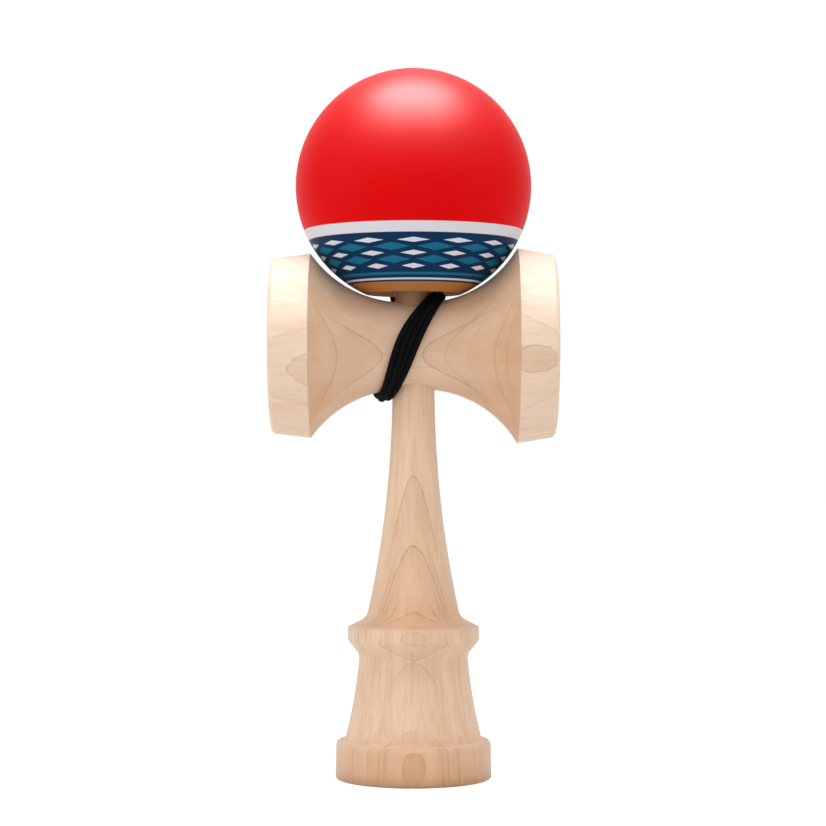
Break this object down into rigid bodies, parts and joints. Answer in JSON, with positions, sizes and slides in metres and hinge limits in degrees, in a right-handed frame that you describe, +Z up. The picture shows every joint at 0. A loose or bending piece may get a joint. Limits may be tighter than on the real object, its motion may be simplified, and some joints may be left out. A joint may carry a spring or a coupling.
{
  "type": "kendama",
  "caption": "Wooden cup-and-ball toy: a turned handle and spike through a double cup, a drilled ball standing over the spike, and a string wound on the waist of the cup.",
  "frame": {"origin": "middle of the foot of the handle, on the surface it stands on", "axes": "+Z up along the handle to the ball, +X towards the big cup, +Y away from the viewer, to the back where the string runs"},
  "size_m": [0.072, 0.0606, 0.1815],
  "materials": {
    "pale_wood": "bare turned maple with fine brown growth lines, sanded smooth",
    "red_paint": "satin red paint on wood with painted rings near the hole",
    "bead": "plain off-white bead",
    "black_thread": "matte braided black string"
  },
  "bodies": {
    "handle": {"ken": "pale_wood", "sarado": "pale_wood", "tail_knot": "black_thread", "string_wrap": "black_thread", "string_lead": "black_thread"},
    "bead": {"bead": "bead", "bead_knot": "black_thread", "string_core": "black_thread"},
    "tama": {"tama": "red_paint"}
  },
  "joints": [
    {"name": "tama_lift", "type": "slide", "parent": "handle", "child": "bead", "axis": [0, 0, 1], "range_m": [0, 0.04], "deforming": ["string_lead"]},
    {"name": "tama_spin", "type": "hinge", "parent": "bead", "child": "tama", "pos_m": [0, 0, 0.15], "axis": [0, 0, 1], "continuous": true}
  ]
}
